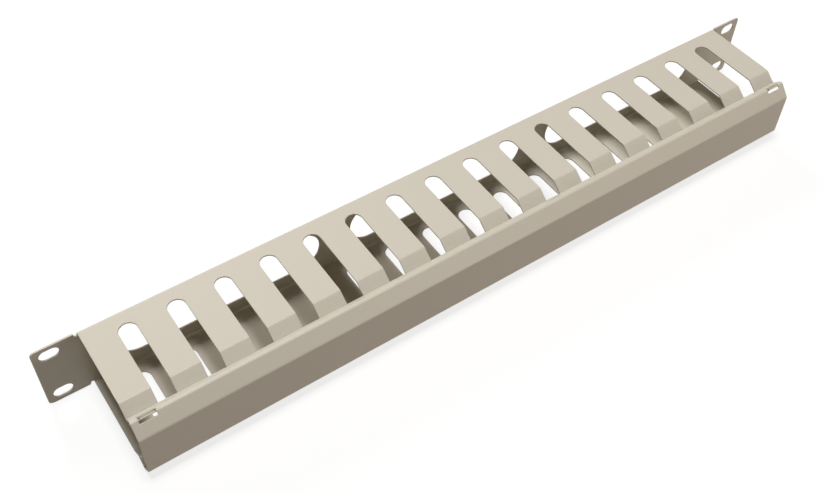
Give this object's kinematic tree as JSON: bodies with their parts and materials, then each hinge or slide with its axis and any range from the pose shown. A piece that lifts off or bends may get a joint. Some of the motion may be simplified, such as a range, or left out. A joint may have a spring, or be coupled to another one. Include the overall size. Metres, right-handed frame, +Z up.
{
  "type": "rack cable management panel",
  "caption": "Folded steel duct for a 19-inch rack: ears with slots, fingered top and bottom walls, back windows and a clip-on front cover.",
  "frame": {"origin": "middle of the underside: under the middle of the overall box, at the height of the bottom wall's outer face", "axes": "+X along the rack's width, -Y the front with the cover, +Y the rear face that meets the rack rails, +Z up"},
  "size_m": [0.4826, 0.0682, 0.0442],
  "materials": {
    "base_paint": "satin light grey-beige powder coat",
    "cover_paint": "satin light grey-beige powder coat"
  },
  "bodies": {
    "root": {"duct_base": "base_paint", "front_cover": "cover_paint"}
  },
  "joints": []
}
